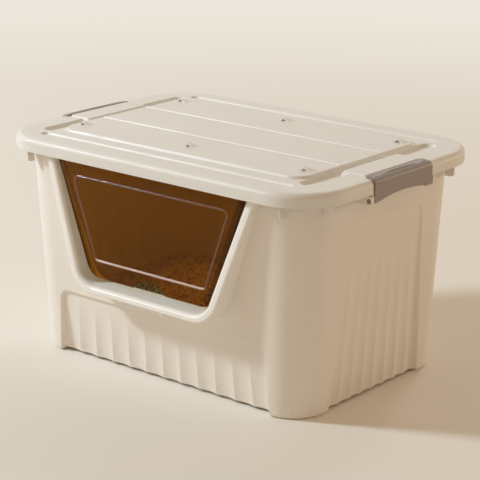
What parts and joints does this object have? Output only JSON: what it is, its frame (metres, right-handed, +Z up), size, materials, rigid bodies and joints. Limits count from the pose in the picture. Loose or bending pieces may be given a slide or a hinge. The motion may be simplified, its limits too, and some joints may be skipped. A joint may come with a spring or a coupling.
{
  "type": "front-entry litter box",
  "caption": "Tapered litter box with fluted walls, hooded front doorway with a swinging see-through flap, lift-off lid and side latches.",
  "frame": {"origin": "on the floor, below the middle of the box", "axes": "+Z up; -Y is the front with the doorway; X runs along the length, with a latch at each end"},
  "size_m": [0.603, 0.422, 0.347],
  "materials": {
    "shell": "satin moulded polypropylene, warm cream",
    "door_trim": "smooth moulded polypropylene, pale cream",
    "smoked_panel": "smoked see-through polystyrene, polished",
    "lid": "glossy moulded polypropylene, off-white",
    "latch": "satin moulded plastic, warm grey",
    "pin_steel": "plain steel stub pins",
    "litter": "loose crumbly granules, sand colour with dark specks"
  },
  "bodies": {
    "tub_body": {"tub": "shell", "door_frame": "door_trim", "latch_pin_left_front": "pin_steel", "latch_pin_left_back": "pin_steel", "latch_pin_right_front": "pin_steel", "latch_pin_right_back": "pin_steel", "litter_bed": "litter"},
    "flap_body": {"flap": "smoked_panel"},
    "lid_body": {"lid": "lid"},
    "latch_left_body": {"latch_left": "latch"},
    "latch_right_body": {"latch_right": "latch"}
  },
  "joints": [
    {"name": "flap_swing", "type": "hinge", "parent": "tub_body", "child": "flap_body", "pos_m": [0, -0.1925, 0.318], "axis": [1, 0, 0], "range_deg": [-60, 80]},
    {"name": "lid_lift", "type": "slide", "parent": "tub_body", "child": "lid_body", "axis": [0, 0, 1], "range_m": [0, 0.25]},
    {"name": "latch_left_hinge", "type": "hinge", "parent": "tub_body", "child": "latch_left_body", "pos_m": [-0.2965, 0, 0.306], "axis": [0, -1, 0], "range_deg": [0, 150]},
    {"name": "latch_right_hinge", "type": "hinge", "parent": "tub_body", "child": "latch_right_body", "pos_m": [0.2965, 0, 0.306], "axis": [0, 1, 0], "range_deg": [0, 150]}
  ]
}
